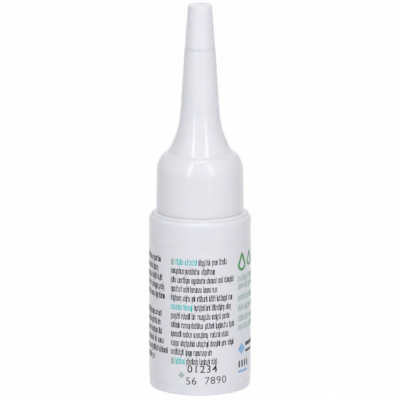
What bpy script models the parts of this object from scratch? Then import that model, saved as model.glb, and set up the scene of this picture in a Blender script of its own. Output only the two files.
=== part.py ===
"""An ear drop bottle: a squeeze bottle with a wrap-around label, a neck plug, and a screw-on nozzle
with a foam washer and a pull-off tip cap. Lengths are in metres, +Z is up, and the origin is the
middle of the foot, on the table. Every piece is turned about the Z axis."""

import math

import bmesh
import bpy

# Bottle body
body_radius = 0.0150
body_wall = 0.0010
shoulder_height = 0.0527
shoulder_chamfer = 0.0022
shoulder_flat_share = 0.577
shoulder_rounding = 0.0015
shoulder_inner_rounding = 0.0006
heel_inset = 0.00015
heel_rounding_width = 0.00045
heel_rounding_height = 0.0015
foot_ring_width = 0.0026
base_push_up = 0.0012
base_rounding = 0.0008
floor_rounding = 0.0020

# Wrap-around label, which lies flush in a shallow panel of the body
label_thickness = 0.0002
label_gap = 0.0002
label_bottom = 0.0028
label_below_shoulder = 0.0064
label_margin = 0.0002

# Neck and its screw thread
neck_radius = 0.0098
neck_wall = 0.0012
neck_height = 0.0099
neck_root_rounding = 0.0006
neck_lip_rounding = 0.0003
thread_pitch = 0.003175
thread_crest = 0.0010
thread_ridge_radius = 0.00085
thread_rise = 0.00305
thread_drop = 0.0021

# Clearances
seat_gap = 0.0003
thread_clearance = 0.00045
collar_gap = 0.0003

# Neck plug with its drip hole
plug_flange_width = 0.0010
plug_flange_thickness = 0.0008
plug_depth = 0.0058
plug_wall = 0.0010
plug_lead_in = 0.0005
drip_hole_radius = 0.0009
drip_well_radius = 0.0030
drip_well_depth = 0.0004
drip_spout_radius = 0.0022
drip_spout_length = 0.0020

# Foam washer in the closure
washer_thickness = 0.0010
washer_side_gap = 0.00035
washer_width = 0.0034

# Screw collar
collar_wall = 0.0015
collar_spread = 0.0002
collar_lip_rounding = 0.0003
dome_width = 0.0041
dome_height = 0.0062
dome_below_washer = 0.0006
dome_end_degrees = 74.0
seal_rib_inset = 0.0006
seal_rib_width = 0.0014
female_crest = 0.00085
female_ridge_radius = 0.00075
lead_in_chamfer = 0.0003

# Nozzle
nozzle_length = 0.0308
nozzle_top_radius = 0.00452
nozzle_slope_share = 0.0647
nozzle_wall = 0.0011
nozzle_rim_rounding = 0.00015
flare_step = 0.0003
flare_rise = 0.00025
flare_height = 0.0126
flare_power = 2.3
spigot_wall = 0.0010
spigot_tip_rounding = 0.0006
spigot_throat_height = 0.0030
orifice_radius = 0.0008
orifice_length = 0.0050

# Tip cap
tip_cap_step = 0.00005
tip_cap_height = 0.0126
tip_cap_taper = 0.00089
tip_cap_wall = 0.0010
tip_cap_lip_rounding = 0.00015
rim_rounding = 0.0003
rim_width = 0.00055
dish_depth = 0.0005
dish_rounding = 0.0004
sealing_pin_length = 0.0022
sealing_pin_rounding = 0.00025

# Counts and fine settings of the turned surfaces
sides = 40
degrees_per_facet = 31.0
rounding_room_share = 0.45
heel_facets = 4
groove_facets = 4
dome_facets = 7
flare_facets = 6
hollow_facets = 5
thread_fade_share = 0.12
thread_end_share = 0.2
smooth_edge_degrees = 32.0
merge_distance = 0.000001

# Sizes that follow from the ones above
panel_radius = body_radius - label_thickness - label_gap
body_inner_radius = panel_radius - body_wall
label_top = shoulder_height - shoulder_chamfer - label_below_shoulder
heel_radius = body_radius - heel_inset
foot_radius = heel_radius - heel_rounding_width
neck_top = shoulder_height + neck_height
neck_inner_radius = neck_radius - neck_wall
male_thread_start = shoulder_height + thread_rise
female_thread_start = male_thread_start - thread_pitch / 2
thread_turns = (neck_height - thread_rise - thread_drop) / thread_pitch
flange_bottom = neck_top + seat_gap
flange_top = flange_bottom + plug_flange_thickness
washer_bottom = flange_top + seat_gap
washer_top = washer_bottom + washer_thickness
seal_rib_bottom = washer_top + seat_gap
collar_bottom = shoulder_height + collar_gap
collar_inner_radius = neck_radius + thread_crest + thread_clearance
collar_radius = collar_inner_radius + collar_wall
dome_bottom = washer_top - dome_below_washer
dome_centre_radius = collar_radius - dome_width
dome_end_radius = dome_centre_radius + dome_width * math.cos(math.radians(dome_end_degrees))
dome_end_height = dome_bottom + dome_height * math.sin(math.radians(dome_end_degrees))
seal_rib_radius = neck_radius - seal_rib_inset
washer_radius = collar_inner_radius - washer_side_gap
flare_radius = dome_end_radius - flare_step
flare_bottom = dome_end_height + flare_rise
nozzle_top = flare_bottom + nozzle_length
tip_cap_radius = nozzle_top_radius - tip_cap_step
tip_cap_top_radius = tip_cap_radius - tip_cap_taper
tip_cap_bottom = nozzle_top + seat_gap
tip_cap_top = tip_cap_bottom + tip_cap_height
tip_cap_ceiling = tip_cap_top - dish_depth - tip_cap_wall
spigot_top = tip_cap_ceiling - seat_gap

MATERIALS = {
    "white_bottle_plastic": ((0.86, 0.87, 0.90, 1.0), 0.38),
    "white_closure_plastic": ((0.88, 0.89, 0.91, 1.0), 0.32),
    "label_film": ((0.90, 0.91, 0.94, 1.0), 0.30),
    "natural_plug_plastic": ((0.80, 0.82, 0.82, 1.0), 0.40),
    "washer_foam": ((0.85, 0.85, 0.83, 1.0), 0.85),
}


def clear_scene():
    for thing in list(bpy.data.objects):
        bpy.data.objects.remove(thing, do_unlink=True)


def new_collection(name):
    group = bpy.data.collections.new(name)
    bpy.context.scene.collection.children.link(group)
    return group


def plastic(name):
    """The named material, made once."""
    if name in bpy.data.materials:
        return bpy.data.materials[name]
    colour, roughness = MATERIALS[name]
    made = bpy.data.materials.new(name)
    made.use_nodes = True
    shader = made.node_tree.nodes["Principled BSDF"]
    shader.inputs["Base Color"].default_value = colour
    shader.inputs["Roughness"].default_value = roughness
    shader.inputs["Metallic"].default_value = 0.0
    return made


def ellipse(centre_radius, centre_height, width, height, start, end, facets):
    """Points of an elliptical arc in the outline's plane, between two angles in degrees."""
    points = []
    for step in range(facets + 1):
        angle = math.radians(start + (end - start) * step / facets)
        points.append((centre_radius + width * math.cos(angle), centre_height + height * math.sin(angle)))
    return points


def rounded_corner(before, corner, after, rounding):
    """The points that round one corner, with the rounding held to what the two edges have room for."""
    in_x, in_z = before[0] - corner[0], before[1] - corner[1]
    out_x, out_z = after[0] - corner[0], after[1] - corner[1]
    in_length, out_length = math.hypot(in_x, in_z), math.hypot(out_x, out_z)
    in_x, in_z, out_x, out_z = in_x / in_length, in_z / in_length, out_x / out_length, out_z / out_length
    opening = math.acos(max(-1.0, min(1.0, in_x * out_x + in_z * out_z)))
    wanted = rounding / math.tan(opening / 2)
    reach = min(wanted, in_length * rounding_room_share, out_length * rounding_room_share)
    radius = reach * math.tan(opening / 2)
    middle_x, middle_z = in_x + out_x, in_z + out_z
    middle_length = math.hypot(middle_x, middle_z)
    away = radius / math.sin(opening / 2)
    centre = (corner[0] + middle_x / middle_length * away, corner[1] + middle_z / middle_length * away)
    first = math.atan2(corner[1] + in_z * reach - centre[1], corner[0] + in_x * reach - centre[0])
    last = math.atan2(corner[1] + out_z * reach - centre[1], corner[0] + out_x * reach - centre[0])
    turn = (last - first + math.pi) % (2 * math.pi) - math.pi
    facets = max(1, math.ceil(abs(math.degrees(turn)) / degrees_per_facet))
    points = []
    for step in range(facets + 1):
        angle = first + turn * step / facets
        points.append((centre[0] + radius * math.cos(angle), centre[1] + radius * math.sin(angle)))
    return points


def outline(corners, closed):
    """The points of an outline. A corner is (radius, height) or (radius, height, rounding)."""
    points = []
    for index, corner in enumerate(corners):
        is_end = not closed and index in (0, len(corners) - 1)
        if len(corner) == 2 or is_end:
            points.append(corner[:2])
            continue
        before = corners[index - 1]
        after = corners[(index + 1) % len(corners)]
        points.extend(rounded_corner(before[:2], corner[:2], after[:2], corner[2]))
    return points


def turned(name, group, points, base_height, closed):
    """An object turned from an outline that runs down its outer side, with its origin at base_height."""
    mesh = bpy.data.meshes.new(name)
    edges = [(index, index + 1) for index in range(len(points) - 1)]
    if closed:
        edges.append((len(points) - 1, 0))
    mesh.from_pydata([(radius, 0.0, height - base_height) for radius, height in points], edges, [])
    piece = bpy.data.objects.new(name, mesh)
    piece.location = (0.0, 0.0, base_height)
    group.objects.link(piece)
    screw = piece.modifiers.new("turn", "SCREW")
    screw.axis = "Z"
    screw.angle = 2 * math.pi
    screw.steps = sides
    screw.render_steps = sides
    screw.use_merge_vertices = True
    screw.merge_threshold = merge_distance
    screw.use_smooth_shade = True
    return piece


def evaluated_mesh(piece):
    bpy.context.view_layer.update()
    graph = bpy.context.evaluated_depsgraph_get()
    return bpy.data.meshes.new_from_object(piece.evaluated_get(graph))


def finish(piece, material_name):
    """Applies the modifiers, shades the round faces smooth and the corners sharp, and adds the material."""
    mesh = evaluated_mesh(piece)
    mesh.name = piece.name
    piece.modifiers.clear()
    piece.data = mesh
    mesh.shade_smooth()
    mesh.set_sharp_from_angle(angle=math.radians(smooth_edge_degrees))
    mesh.materials.clear()
    mesh.materials.append(plastic(material_name))
    return piece


def thread_ridge(name, group, wall_radius, side, crest, ridge_radius, start_height):
    """A helical ridge with faded ends, outside a round wall with side 1 and inside it with side -1."""
    count = round(thread_turns * sides)
    curve = bpy.data.curves.new(name, "CURVE")
    curve.dimensions = "3D"
    curve.twist_mode = "Z_UP"
    curve.bevel_depth = ridge_radius
    curve.bevel_resolution = 1
    curve.use_fill_caps = True
    spline = curve.splines.new("POLY")
    spline.points.add(count)
    for index in range(count + 1):
        along = index / count
        near_end = min(along, 1.0 - along) / thread_fade_share
        size = thread_end_share + (1.0 - thread_end_share) * min(1.0, near_end)
        angle = 2 * math.pi * thread_turns * along
        reach = wall_radius + side * (crest - ridge_radius) * size
        height = start_height + thread_pitch * thread_turns * along
        spline.points[index].co = (reach * math.cos(angle), reach * math.sin(angle), height, 1.0)
        spline.points[index].radius = size
    drawn = bpy.data.objects.new(name + "_curve", curve)
    group.objects.link(drawn)
    mesh = evaluated_mesh(drawn)
    shape = bmesh.new()
    shape.from_mesh(mesh)
    bmesh.ops.remove_doubles(shape, verts=shape.verts, dist=merge_distance)
    bmesh.ops.recalc_face_normals(shape, faces=shape.faces)
    shape.to_mesh(mesh)
    shape.free()
    ridge = bpy.data.objects.new(name, mesh)
    ridge.matrix_world = drawn.matrix_world
    group.objects.link(ridge)
    bpy.data.objects.remove(drawn, do_unlink=True)
    ridge.hide_render = True
    ridge.display_type = "WIRE"
    return ridge


def join(piece, ridge):
    union = piece.modifiers.new("thread", "BOOLEAN")
    union.operation = "UNION"
    union.solver = "EXACT"
    union.object = ridge


def nozzle_radius(height):
    """The nozzle's outer radius: a straight taper, with a flare where it grows out of the collar's dome."""
    straight = nozzle_top_radius + nozzle_slope_share * (nozzle_top - height)
    gain = flare_radius - nozzle_top_radius - nozzle_slope_share * nozzle_length
    left = max(0.0, 1.0 - (height - flare_bottom) / flare_height)
    return straight + gain * left ** flare_power


def tip_cap_outer_radius(height):
    share = (height - tip_cap_bottom) / tip_cap_height
    return tip_cap_radius + (tip_cap_top_radius - tip_cap_radius) * share


def make_squeeze_bottle(group, tools):
    inner_shoulder = shoulder_height - body_wall
    flat_radius = neck_radius + (body_radius - neck_radius) * shoulder_flat_share
    inner_flat_radius = neck_inner_radius + (body_inner_radius - neck_inner_radius) * shoulder_flat_share
    panel_bottom = label_bottom - label_margin
    panel_top = label_top + label_margin
    floor_height = base_push_up + body_wall
    foot_inner_radius = foot_radius - foot_ring_width
    corners = [
        (0.0, floor_height),
        (body_inner_radius, floor_height, floor_rounding),
        (body_inner_radius, inner_shoulder - shoulder_chamfer, shoulder_rounding),
        (inner_flat_radius, inner_shoulder, shoulder_inner_rounding),
        (neck_inner_radius, inner_shoulder, neck_root_rounding),
        (neck_inner_radius, neck_top, neck_lip_rounding),
        (neck_radius, neck_top, neck_lip_rounding),
        (neck_radius, shoulder_height, neck_root_rounding),
        (flat_radius, shoulder_height, shoulder_inner_rounding),
        (body_radius, shoulder_height - shoulder_chamfer, shoulder_rounding),
        (body_radius, panel_top),
        (panel_radius, panel_top),
        (panel_radius, panel_bottom),
        (heel_radius, panel_bottom),
    ]
    corners += ellipse(
        foot_radius, heel_rounding_height, heel_rounding_width, heel_rounding_height, 0, -90, heel_facets
    )
    corners += [
        (foot_inner_radius, 0.0, base_rounding),
        (foot_inner_radius - base_push_up, base_push_up, base_rounding),
        (0.0, base_push_up),
    ]
    bottle = turned("squeeze_bottle", group, outline(corners, False), 0.0, False)
    ridge = thread_ridge(
        "neck_thread", tools, neck_radius, 1, thread_crest, thread_ridge_radius, male_thread_start
    )
    join(bottle, ridge)
    return finish(bottle, "white_bottle_plastic")


def make_wrap_label(group):
    inner_radius = body_radius - label_thickness
    corners = [
        (body_radius, label_top),
        (body_radius, label_bottom),
        (inner_radius, label_bottom),
        (inner_radius, label_top),
    ]
    return finish(turned("wrap_label", group, outline(corners, True), label_bottom, True), "label_film")


def make_orifice_reducer(group):
    plug_radius = neck_inner_radius - seat_gap
    inner_radius = plug_radius - plug_wall
    plug_bottom = flange_bottom - plug_depth
    flange_radius = neck_inner_radius + plug_flange_width
    spout_bottom = flange_bottom - drip_spout_length
    corners = [
        (drip_well_radius, flange_top),
        (flange_radius, flange_top),
        (flange_radius, flange_bottom),
        (plug_radius, flange_bottom),
        (plug_radius, plug_bottom + plug_lead_in),
        (plug_radius - plug_lead_in, plug_bottom),
        (inner_radius, plug_bottom),
        (inner_radius, flange_bottom, plug_lead_in),
        (drip_spout_radius, flange_bottom),
        (drip_spout_radius, spout_bottom),
        (drip_hole_radius, spout_bottom),
        (drip_hole_radius, flange_top - drip_well_depth),
    ]
    piece = turned("orifice_reducer", group, outline(corners, True), flange_bottom, True)
    return finish(piece, "natural_plug_plastic")


def make_sealing_washer(group):
    corners = [
        (washer_radius, washer_top),
        (washer_radius, washer_bottom),
        (washer_radius - washer_width, washer_bottom),
        (washer_radius - washer_width, washer_top),
    ]
    return finish(turned("sealing_washer", group, outline(corners, True), washer_bottom, True), "washer_foam")


def nozzle_outside():
    """The closure's outer side, from the top of the flare down to the foot of the dome."""
    heights = [flare_bottom + flare_height * (1 - step / flare_facets) for step in range(flare_facets + 1)]
    points = [(nozzle_radius(height), height) for height in heights]
    dome = ellipse(dome_centre_radius, dome_bottom, dome_width, dome_height, dome_end_degrees, 0, dome_facets)
    return points + dome


def nozzle_inside():
    """The hollow of the nozzle, from the seal rib up to the throat, closer spaced where it bends."""
    rib_bore = seal_rib_radius - seal_rib_width
    hollow_height = nozzle_length - spigot_throat_height
    points = [(min(rib_bore, flare_radius - nozzle_wall), seal_rib_bottom)]
    for step in range(hollow_facets + 1):
        height = flare_bottom + hollow_height * (step / hollow_facets) ** flare_power
        points.append((min(rib_bore, nozzle_radius(height) - nozzle_wall), height))
    return points


def make_nozzle_closure(group, tools):
    spigot_base = tip_cap_outer_radius(nozzle_top) - tip_cap_wall - seat_gap
    spigot_tip = tip_cap_outer_radius(spigot_top) - tip_cap_wall - seat_gap
    lip_radius = collar_radius + collar_spread
    groove_width = dome_width - collar_wall
    groove_height = dome_height - collar_wall
    groove_share = (seal_rib_radius - dome_centre_radius) / groove_width
    groove_end = math.degrees(math.acos(max(0.0, min(1.0, groove_share))))
    corners = [
        (orifice_radius, spigot_top),
        (spigot_tip, spigot_top, spigot_tip_rounding),
        (spigot_base, nozzle_top),
        (nozzle_top_radius, nozzle_top, nozzle_rim_rounding),
    ]
    corners += nozzle_outside()
    corners += [
        (lip_radius, collar_bottom, collar_lip_rounding),
        (collar_inner_radius + lead_in_chamfer, collar_bottom),
        (collar_inner_radius, collar_bottom + lead_in_chamfer),
    ]
    corners += ellipse(
        dome_centre_radius, dome_bottom, groove_width, groove_height, 0, groove_end, groove_facets
    )
    corners += [(seal_rib_radius, seal_rib_bottom)]
    corners += nozzle_inside()
    corners += [
        (spigot_base - spigot_wall, nozzle_top - nozzle_wall),
        (orifice_radius, spigot_top - orifice_length),
    ]
    closure = turned("nozzle_closure", group, outline(corners, True), collar_bottom, True)
    ridge = thread_ridge(
        "collar_thread",
        tools,
        collar_inner_radius,
        -1,
        female_crest,
        female_ridge_radius,
        female_thread_start,
    )
    join(closure, ridge)
    return finish(closure, "white_closure_plastic")


def make_tip_cap(group, closure):
    pin_radius = orifice_radius - seat_gap
    pin_bottom = tip_cap_ceiling - sealing_pin_length
    dish_radius = tip_cap_top_radius - rim_width
    corners = [
        (0.0, tip_cap_top - dish_depth),
        (dish_radius, tip_cap_top - dish_depth, dish_rounding),
        (dish_radius, tip_cap_top, rim_rounding),
        (tip_cap_top_radius, tip_cap_top, rim_rounding),
        (tip_cap_radius, tip_cap_bottom, tip_cap_lip_rounding),
        (tip_cap_radius - tip_cap_wall, tip_cap_bottom),
        (tip_cap_outer_radius(tip_cap_ceiling) - tip_cap_wall, tip_cap_ceiling),
        (pin_radius, tip_cap_ceiling),
        (pin_radius, pin_bottom, sealing_pin_rounding),
        (0.0, pin_bottom),
    ]
    cap = turned("tip_cap", group, outline(corners, False), tip_cap_bottom, False)
    cap.parent = closure
    cap.location = (0.0, 0.0, tip_cap_bottom - collar_bottom)
    return finish(cap, "white_closure_plastic")


def main():
    clear_scene()
    group = new_collection("ear_drop_bottle")
    tools = new_collection("thread_tools")
    make_squeeze_bottle(group, tools)
    make_wrap_label(group)
    make_orifice_reducer(group)
    make_sealing_washer(group)
    closure = make_nozzle_closure(group, tools)
    make_tip_cap(group, closure)


main()
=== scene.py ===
"""The looks of a white ear drop bottle: a turned bottle, its printed wrap label, neck plug, foam
washer, screw-on nozzle and tip cap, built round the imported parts. Lengths are in metres, +Z is up."""

import math
import random

import bmesh
import bpy
from bpy.props import FloatProperty, FloatVectorProperty, IntProperty, PointerProperty
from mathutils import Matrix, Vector


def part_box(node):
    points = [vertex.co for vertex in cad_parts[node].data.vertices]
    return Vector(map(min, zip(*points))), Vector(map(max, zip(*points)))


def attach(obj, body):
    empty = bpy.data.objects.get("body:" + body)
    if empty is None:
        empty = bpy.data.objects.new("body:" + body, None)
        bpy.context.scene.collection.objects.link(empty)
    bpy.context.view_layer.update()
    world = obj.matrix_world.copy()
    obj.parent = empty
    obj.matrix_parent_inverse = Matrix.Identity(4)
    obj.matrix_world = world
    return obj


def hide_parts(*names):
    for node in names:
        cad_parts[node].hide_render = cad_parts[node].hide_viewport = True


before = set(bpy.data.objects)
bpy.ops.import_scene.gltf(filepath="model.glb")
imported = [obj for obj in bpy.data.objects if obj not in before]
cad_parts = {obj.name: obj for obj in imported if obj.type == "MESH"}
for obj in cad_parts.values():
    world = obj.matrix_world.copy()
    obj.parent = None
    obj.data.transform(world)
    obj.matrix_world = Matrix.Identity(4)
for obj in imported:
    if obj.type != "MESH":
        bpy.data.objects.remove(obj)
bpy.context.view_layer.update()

bl_info = {
    "name": "Ear Drop Bottle",
    "version": (1, 0, 0),
    "blender": (4, 5, 0),
    "location": "View3D > Sidebar > Ear Drop Bottle",
    "description": "Builds a white ear drop bottle with a printed label, nozzle and tip cap",
    "category": "Add Mesh",
}


def extent(node):
    """The radius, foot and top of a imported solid, all of which are turned on the bottle's axis."""
    low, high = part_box(node)
    return high[0], low[2], high[2]


body_radius, _, neck_top = extent("squeeze_bottle")
label_radius, label_low, label_high = extent("wrap_label")
plug_radius, plug_low, plug_high = extent("orifice_reducer")
washer_radius, washer_low, washer_high = extent("sealing_washer")
lip_radius, _, spigot_top = extent("nozzle_closure")
cap_radius, cap_low, cap_high = extent("tip_cap")

MM = 0.001
# Points nearer to each other than this are one point
MERGE = 0.0000002
# The gap that stands in for two faces that touch
FIT_GAP = 0.0003
# A gap or an overlap that is too small to see
HAIR = 0.00001
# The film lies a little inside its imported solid
FILM_RADIUS = label_radius - 2 * HAIR
# How far below a rim a ring holds the shading of the straight wall
HOLD = 0.0005
# How deep a thread is rooted, half its width at the root, and the share of a turn over which it fades
THREAD_SINK = 0.00025
THREAD_FOOT = 0.00115
THREAD_FADE = 0.16
# Roundings of moulded corners
CRISP = 0.0001
EDGE = 0.0002
EASED = 0.0003
SOFT = 0.0006
FULL = 0.0008
# The front panel's tint: its sides, as turns from the front, and the heights between which it turns
# from the lower colour to the upper, fades out at the top and fades in at the foot
PANEL_LEFT = math.radians(45.5)
PANEL_RIGHT = math.radians(142.0)
PANEL_SOFT = math.radians(12.0)
TINT_CHANGE = (0.014, 0.027)
TINT_TOP = (0.033, 0.040)
TINT_FOOT = (0.003, 0.010)
TINT_SHARE = 0.28
# Turns a shape that lies flat to the front
UPRIGHT = (math.pi / 2, 0.0, 0.0)
PLASTIC_IOR = 1.46
# Warm, darker colour of the painted shade round a plastic's mark
PAINTED_SHADE = (0.70, 0.66, 0.66, 1.0)
# For each plastic: its roughness, the fineness and depth of its grain, and how far light goes in
BLOWN = {"roughness": 0.16, "grain": 1300.0, "depth": 0.000003, "soft": 0.0003}
MOULDED = {"roughness": 0.12, "grain": 1500.0, "depth": 0.000002, "soft": 0.0009}
NATURAL = {"roughness": 0.42, "grain": 1600.0, "depth": 0.000010, "soft": 0.0011}
WHITE = {"Color": (1.0, 1.0, 1.0, 1.0), "Strength": 1.0}

# The label is laid out flat in mm, across from the front and up from the table, then wrapped round.
# A block is its left edge, the height of its first row, each row's right edge (0 leaves it empty), the
# lengths of the coloured heads by row, the rows with a tag, the seed, the coarseness and the widths,
# in columns, that a stroke may take. Gaps between strokes have widths too. Words and spaces have a least
# and a greatest length. A row's rest is no word of its own if it is short, or slight and after a word.
STROKES = (1, 1, 1, 2)
GAPS = (1, 1, 1, 1, 2)
WORD = (1.0, 4.4)
SPACE = (0.42, 0.6)
SHORT = 0.9
SLIGHT = 1.3
# Strokes whose lot is under the first share stand out above a row, and under the second below it
TALL = 0.28
DEEP = 0.40
MIDDLE_ROWS = (8.3, 4.4, 10.6, 6.5, 10.1, 9.6, 9.2, 10.9, 8.8, 10.6, 3.6, 4.9)
SIDE_ROWS = (-13.2, -14.3, -12.5, -11.7, -11.5, 0, -12.9, -13.4, -12.7, -10.6, -10.3, -16.2)
BACK_ROWS = (57.2, 55.1, 58.4, 56.3, 0, 57.9, 54.2, 58.1, 58.6, 55.7, 57.5, 52.6)
BLOCKS = (
    (-9.05, 39.38, MIDDLE_ROWS, {0: 6.6, 5: 6.8, 11: 3.0}, (0, 11), 11, 1.0, STROKES),
    (-31.0, 39.28, SIDE_ROWS, {0: 5.4, 6: 4.1}, (), 12, 1.6, (1, 2)),
    (40.0, 39.38, BACK_ROWS, {0: 4.6, 5: 6.2}, (), 13, 1.15, STROKES),
)
# The front panel's rows: their left edge, and each one's right edge by its height
PANEL_START = 12.6
PANEL_ROWS = {33.4: 31.5, 31.1: 34.1, 27.6: 33.2, 24.6: 30.4, 21.3: 33.8, 18.8: 29.6}
# A drop is its place, radius and line, and a bar its left, right, foot, top and number of columns
DROPS = ((14.5, 38.4, 2.0, 0.8), (19.1, 38.9, 1.7, 0.7), (23.5, 38.4, 2.0, 0.8), (28.1, 38.9, 1.7, 0.7))
BARS = [(across, across + 0.6, 7.3, 9.3, 3) for across in (12.9, 14.3, 15.7, 17.1)]
BARS += [(16.5, 23.5, 13.3, 14.4, 18), (16.5, 21.0, 11.4, 12.1, 12)]


def number(name, description, default):
    return FloatProperty(name=name, description=description, default=default)


def length(name, description, mm):
    """A length that is given in mm and kept in metres."""
    return FloatProperty(name=name, description=description, default=mm * MM, unit="LENGTH", precision=6)


def share(name, description, default):
    return FloatProperty(name=name, description=description, default=default, min=0.0, max=1.0)


def angle(name, description, degrees):
    """An angle that is given in degrees and kept in radians."""
    turn = math.radians(degrees)
    return FloatProperty(name=name, description=description, default=turn, subtype="ANGLE")


def colour(name, description, default):
    return FloatVectorProperty(
        name=name, description=description, default=default, size=3, subtype="COLOR", min=0.0, max=1.0
    )


class BottleSizes(bpy.types.PropertyGroup):
    sides: IntProperty(name="Sides", description="Facets round each turned piece", default=128)
    wall: length("Wall", "Thickness of the blown wall", 1.0)
    neck_height: length("Neck height", "Height of the neck above the shoulder", 9.8)
    neck_radius: length("Neck radius", "Outer radius of the neck", 9.8)
    neck_wall: length("Neck wall", "Thickness of the neck", 1.2)
    seat_radius: length("Seat radius", "Radius of the seat under the collar", 12.75)
    fall_radius: length("Fall radius", "Where the slope outside the seat ends", 13.95)
    fall: length("Fall", "How far that slope falls", 0.7)
    line_width: length("Shoulder line width", "Half the width of the fine line there", 0.1)
    line_depth: length("Shoulder line depth", "Depth of that line", 0.15)
    drop: length("Shoulder drop", "From the seat down to the corner", 1.75)
    rounding: length("Shoulder rounding", "Radius of that corner", 1.3)
    panel_depth: length("Panel depth", "Depth of the label's panel", 0.14)
    panel_lead: length("Panel lead", "Height of the slope at its edges", 1.5)
    heel_inset: length("Heel inset", "How much narrower the heel is", 0.05)
    heel_width: length("Heel rounding width", "Reach of the rounding under it", 0.45)
    heel_height: length("Heel rounding height", "Height of that rounding", 1.5)
    foot_ring: length("Foot ring", "Width of the ring it stands on", 2.6)
    push_up: length("Push-up", "Rise of the base inside the foot ring", 1.2)
    pinch_width: length("Pinch line width", "Width of the mould's line under the base", 0.4)
    pinch_length: length("Pinch line length", "Length of that line", 17.0)
    pinch_height: length("Pinch line height", "Height of that line", 0.18)
    thread_pitch: length("Thread pitch", "Rise of the thread in one turn", 3.175)
    thread_turns: number("Thread turns", "Turns of the thread", 1.496)
    thread_crest: length("Thread crest", "Height of the neck's thread", 1.0)
    thread_rise: length("Thread rise", "Its start above the shoulder", 3.05)


class ClosureSizes(bpy.types.PropertyGroup):
    collar_wall: length("Collar wall", "Thickness of the screw collar", 1.5)
    collar_crest: length("Collar thread crest", "Height of the collar's thread", 0.85)
    lip_spread: length("Lip spread", "How much wider the collar's lip is", 0.2)
    lip_rounding: length("Lip rounding", "Radius of the collar's lip", 0.08)
    lip_gap: length("Lip gap", "Gap between lip and shoulder", 0.03)
    dome_width: length("Dome width", "Reach of the collar's round top", 4.1)
    dome_height: length("Dome height", "Height of that round top", 6.2)
    dome_end: angle("Dome end", "Where the nozzle takes over", 74.0)
    nozzle_length: length("Nozzle length", "From the dome to the tip cap", 30.8)
    nozzle_top: length("Nozzle tip radius", "Radius of the nozzle under the tip cap", 4.53)
    nozzle_slope: number("Nozzle slope", "Taper of the nozzle", 0.0647)
    nozzle_wall: length("Nozzle wall", "Thickness of the nozzle", 1.1)
    flare_height: length("Flare height", "Height of the curve under the nozzle", 12.6)
    flare_power: number("Flare power", "Bend of that curve", 2.3)
    rib_radius: length("Seal rib radius", "Outer radius of the rib over the washer", 9.2)
    rib_width: length("Seal rib width", "Width of that rib", 1.4)
    orifice: length("Orifice", "Radius of the hole in the tip", 0.8)
    cap_wall: length("Cap wall", "Thickness of the tip cap", 1.0)
    cap_taper: length("Cap taper", "How much narrower its top is", 0.98)
    cap_seam: length("Cap seam", "Width of the line under the cap", 0.01)
    rim_slope: length("Nozzle rim slope", "Slope round the nozzle's rim", 0.08)
    rim_width: length("Rim width", "Rim round the tip cap's dish", 0.8)
    dish_depth: length("Dish depth", "Depth of that dish", 0.16)
    gate_radius: length("Gate mark radius", "Moulding mark in the dish", 0.55)
    gate_height: length("Gate mark height", "Height of that mark", 0.04)


class LabelPrint(bpy.types.PropertyGroup):
    film: length("Film", "Thickness of the label's film", 0.06)
    overlap_place: length("Overlap place", "Its glued edge, from the front", 60.7)
    overlap_line: length("Overlap line", "Width of that edge's line", 0.15)
    overlap_step: length("Overlap step", "How far the overlap stands proud", 0.03)
    ink: length("Ink", "How far the ink stands proud", 0.015)
    pitch: length("Row pitch", "From row to row of small print", 2.72)
    x_height: length("Row height", "Height of the small print", 1.4)
    stroke: length("Stroke", "Width of its strokes", 0.17)
    bar: length("Bar", "Height of the bars between strokes", 0.26)
    rise: length("Rise", "How far tall strokes stand out", 0.5)
    digit_size: length("Digit size", "Size of the printed digits", 3.2)
    digit_weight: length("Digit weight", "How much bolder the upper digits are", 0.02)
    dark: colour("Dark ink", "Small print and upper digits", (0.013, 0.013, 0.018))
    grey: colour("Grey ink", "Lower digits", (0.07, 0.07, 0.08))
    teal: colour("Teal ink", "Heads of the paragraphs", (0.035, 0.58, 0.56))
    green: colour("Green ink", "Drops on the front panel", (0.09, 0.33, 0.11))
    pale: colour("Pale ink", "Rows on the front panel", (0.42, 0.54, 0.49))
    blue: colour("Blue ink", "Marks on the front panel", (0.30, 0.52, 0.80))
    tint_top: colour("Upper tint", "Front panel, upper part", (0.74, 0.84, 0.78))
    tint_foot: colour("Lower tint", "Front panel, lower part", (0.76, 0.80, 0.90))


class Finishes(bpy.types.PropertyGroup):
    bottle: colour("Bottle", "White blown plastic", (0.853, 0.848, 0.886))
    film: colour("Film", "White label film", (0.846, 0.84, 0.879))
    closure: colour("Closure", "White moulded plastic", (0.868, 0.863, 0.896))
    plug: colour("Plug", "Natural plastic", (0.78, 0.80, 0.79))
    foam: colour("Foam", "Washer foam", (0.85, 0.85, 0.82))


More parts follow.
